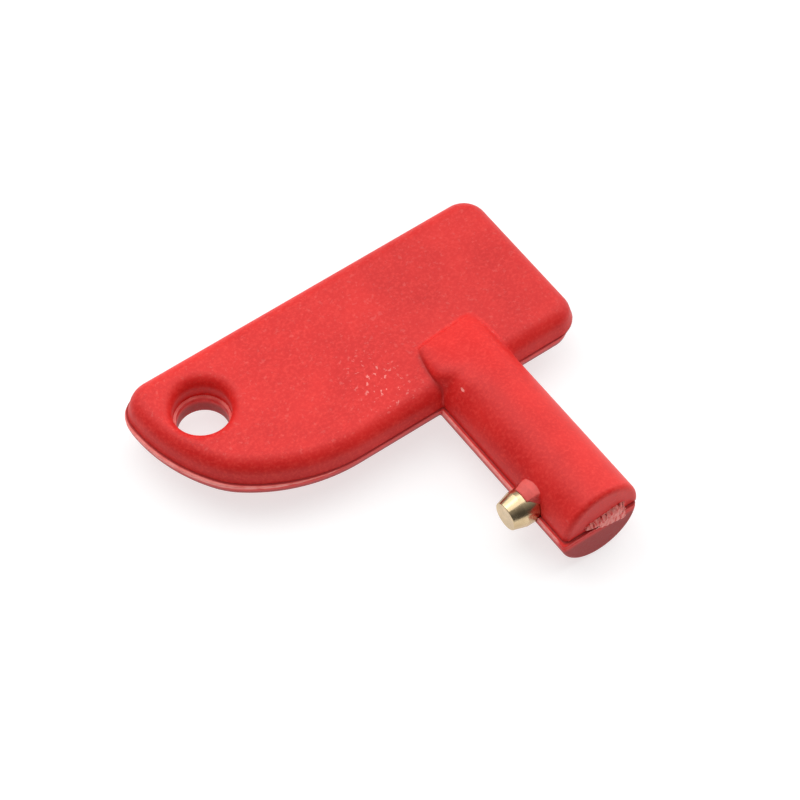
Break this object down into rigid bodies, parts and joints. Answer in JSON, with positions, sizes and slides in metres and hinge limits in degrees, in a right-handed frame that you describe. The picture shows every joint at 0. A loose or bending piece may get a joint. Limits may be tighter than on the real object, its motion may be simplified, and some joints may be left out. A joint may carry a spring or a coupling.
{
  "type": "battery isolator switch key",
  "caption": "Removable key for a battery isolator switch: flat flag-shaped moulded handle with a lanyard hole, round shaft and a metal cross pin that engages the switch.",
  "frame": {"origin": "on the axis of the shaft, level with the edge of the blade where the shaft leaves it, on the moulding's parting plane", "axes": "+X along the blade from the nose to the square end, -Y along the shaft towards its tip, +Z through the blade's thickness"},
  "size_m": [0.0574, 0.0518, 0.0116],
  "materials": {
    "key_body": "satin moulded plastic with a fine grain",
    "drive_pin": "turned and polished"
  },
  "bodies": {
    "root": {"key_body": "key_body", "drive_pin": "drive_pin"}
  },
  "joints": []
}
